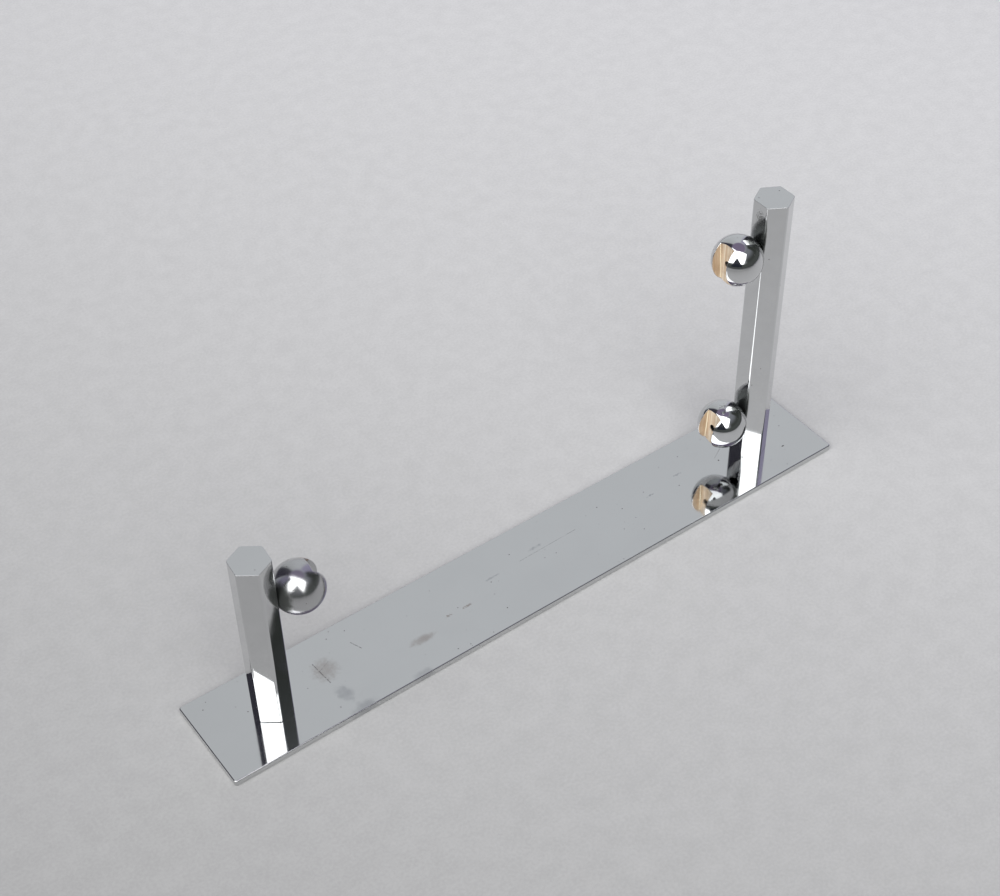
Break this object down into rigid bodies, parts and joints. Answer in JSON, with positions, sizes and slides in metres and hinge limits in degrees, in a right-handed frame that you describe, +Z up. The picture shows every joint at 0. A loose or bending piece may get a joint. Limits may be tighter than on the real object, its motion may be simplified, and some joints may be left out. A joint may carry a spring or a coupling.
{
  "type": "glass picture frame stand",
  "caption": "Thin strip base with one tall and one short hexagonal post, and slotted balls on their facing flats that hold the side edges of a glass sheet.",
  "frame": {"origin": "centre of the strip's underside, where it rests on a table", "axes": "+X along the strip towards the tall post, +Y across the strip, +Z up"},
  "size_m": [0.267, 0.0386, 0.1205],
  "materials": {
    "chrome_plate": "polished, lightly worn",
    "chrome_bar": "polished",
    "chrome_ball": "polished, with bare milled slots",
    "steel": "turned"
  },
  "bodies": {
    "root": {"base_plate": "chrome_plate", "tall_post": "chrome_bar", "short_post": "chrome_bar", "upper_ball": "chrome_ball", "lower_ball": "chrome_ball", "short_post_ball": "chrome_ball", "upper_ball_stud": "steel", "lower_ball_stud": "steel", "short_post_ball_stud": "steel", "tall_post_screw": "steel", "short_post_screw": "steel"}
  },
  "joints": []
}
